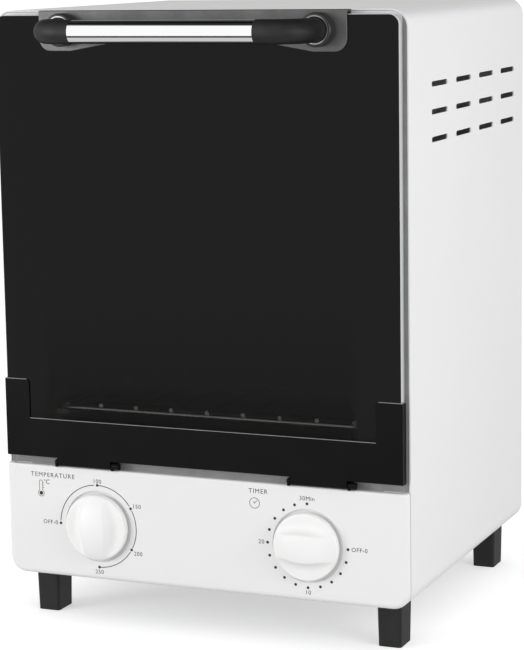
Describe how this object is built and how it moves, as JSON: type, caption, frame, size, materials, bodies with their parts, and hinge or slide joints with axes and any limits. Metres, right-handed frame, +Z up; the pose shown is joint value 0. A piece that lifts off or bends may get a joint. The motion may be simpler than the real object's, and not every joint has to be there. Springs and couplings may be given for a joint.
{
  "type": "dry heat sterilizer",
  "caption": "Tall bench-top dry heat sterilizer: white steel cabinet on four feet, dark glass drop-down door with bar handle, wire rack, temperature and timer dials.",
  "frame": {"origin": "on the bench, under the middle of the whole appliance", "axes": "+X to the user's right, +Y away from the user, +Z up"},
  "size_m": [0.25, 0.2632, 0.3565],
  "materials": {
    "white_paint": "gloss enamel",
    "plated_steel": "zinc plated",
    "bare_steel": "aluminised",
    "black_plastic": "matt moulded",
    "white_plastic": "satin moulded",
    "control_plastic": "phenolic",
    "bell_steel": "pressed",
    "rack_wire": "plated wire",
    "heater_steel": "heat-tinted",
    "white_ceramic": "unglazed",
    "dark_glass": "dark tinted",
    "black_steel": "semi-gloss black",
    "grey_steel": "dark satin",
    "bright_chrome": "mirror",
    "terminal_plastic": "moulded"
  },
  "bodies": {
    "root": {"outer_shell": "white_paint", "back_panel": "white_paint", "control_panel": "white_paint", "back_screws": "plated_steel", "foot_screws": "plated_steel", "control_screws": "plated_steel", "base_plate": "bare_steel", "front_frame": "white_paint", "chamber_liner": "bare_steel", "heat_shield": "bare_steel", "left_front_foot": "black_plastic", "left_rear_foot": "black_plastic", "right_front_foot": "black_plastic", "right_rear_foot": "black_plastic", "thermostat": "control_plastic", "timer_housing": "control_plastic", "timer_bell": "bell_steel", "lower_heating_tubes": "heater_steel", "upper_heating_tubes": "heater_steel", "heater_bushings": "white_ceramic", "left_hinge_bracket": "black_steel", "right_hinge_bracket": "black_steel", "left_hinge_pin": "black_steel", "right_hinge_pin": "black_steel", "cord_gland": "black_plastic", "terminal_block": "terminal_plastic"},
    "door": {"door_glass": "dark_glass", "door_rail": "black_steel", "left_door_stay": "plated_steel", "right_door_stay": "plated_steel", "handle_plate": "grey_steel", "handle_collars": "bright_chrome", "handle_tube": "bright_chrome", "left_handle_cap": "black_plastic", "right_handle_cap": "black_plastic", "handle_screws": "plated_steel"},
    "temperature_dial": {"temperature_knob": "white_plastic", "temperature_shaft": "plated_steel"},
    "timer_dial": {"timer_knob": "white_plastic", "timer_shaft": "plated_steel"},
    "rack": {"wire_rack": "rack_wire"}
  },
  "joints": [
    {"name": "door_hinge", "type": "hinge", "parent": "root", "child": "door", "pos_m": [0, -0.08862, 0.09535], "axis": [1, 0, 0], "range_deg": [0, 90]},
    {"name": "temperature_turn", "type": "hinge", "parent": "root", "child": "temperature_dial", "pos_m": [-0.0655, -0.08893, 0.0589], "axis": [0, 1, 0], "range_deg": [-90, 180]},
    {"name": "timer_turn", "type": "hinge", "parent": "root", "child": "timer_dial", "pos_m": [0.0655, -0.08893, 0.0589], "axis": [0, 1, 0], "range_deg": [0, 270]},
    {"name": "rack_slide", "type": "slide", "parent": "root", "child": "rack", "axis": [0, -1, 0], "range_m": [0, 0.0065]}
  ]
}
